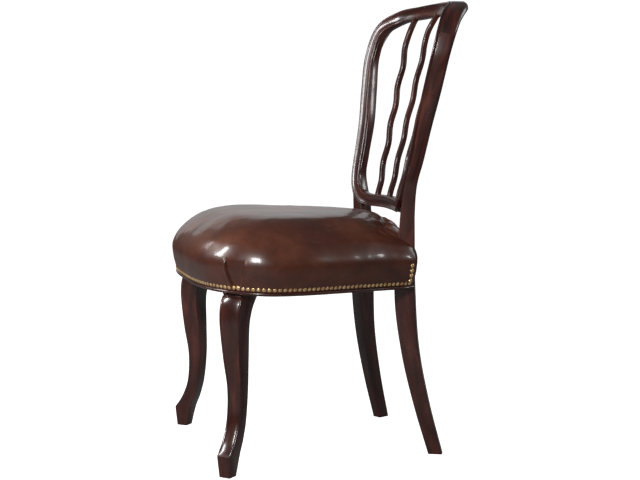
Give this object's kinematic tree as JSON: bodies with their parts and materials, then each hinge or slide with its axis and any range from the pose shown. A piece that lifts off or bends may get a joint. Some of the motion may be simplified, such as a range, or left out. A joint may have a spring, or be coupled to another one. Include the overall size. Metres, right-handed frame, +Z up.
{
  "type": "side chair",
  "caption": "Side chair with a bowed, shield shaped open back, wavy upright splats, a domed nailed leather seat and square cabriole front legs",
  "frame": {"origin": "middle of the outer box, on the floor", "axes": "+X the sitter's left, +Y the back of the chair, +Z up"},
  "size_m": [0.5808, 0.618, 0.9796],
  "materials": {
    "polished_wood": "glossy",
    "plain_wood": "matte",
    "seat_leather": "glossy",
    "stuffing": "matte",
    "webbing": "matte",
    "black_cloth": "matte",
    "screw_steel": "satin",
    "nail_brass": "satin"
  },
  "bodies": {
    "root": {"corner_block_front_left": "plain_wood", "corner_block_front_right": "plain_wood", "corner_block_rear_left": "plain_wood", "corner_block_rear_right": "plain_wood", "crest_rail": "polished_wood", "dust_cover": "black_cloth", "edge_bead_front": "polished_wood", "edge_bead_left": "polished_wood", "edge_bead_right": "polished_wood", "front_leg_left": "polished_wood", "front_leg_right": "polished_wood", "front_seat_rail": "plain_wood", "leather_cover": "seat_leather", "lower_back_rail": "polished_wood", "rear_post_left": "polished_wood", "rear_post_right": "polished_wood", "rear_seat_rail": "plain_wood", "screw_front_left_1": "screw_steel", "screw_front_left_2": "screw_steel", "screw_front_right_1": "screw_steel", "screw_front_right_2": "screw_steel", "screw_rear_left_1": "screw_steel", "screw_rear_left_2": "screw_steel", "screw_rear_right_1": "screw_steel", "screw_rear_right_2": "screw_steel", "seat_padding": "stuffing", "side_seat_rail_left": "plain_wood", "side_seat_rail_right": "plain_wood", "splat_centre": "polished_wood", "splat_left": "polished_wood", "splat_right": "polished_wood", "webbing_strap_cross_1": "webbing", "webbing_strap_cross_2": "webbing", "webbing_strap_cross_3": "webbing", "webbing_strap_deep_1": "webbing", "webbing_strap_deep_2": "webbing", "webbing_strap_deep_3": "webbing"}
  },
  "joints": []
}
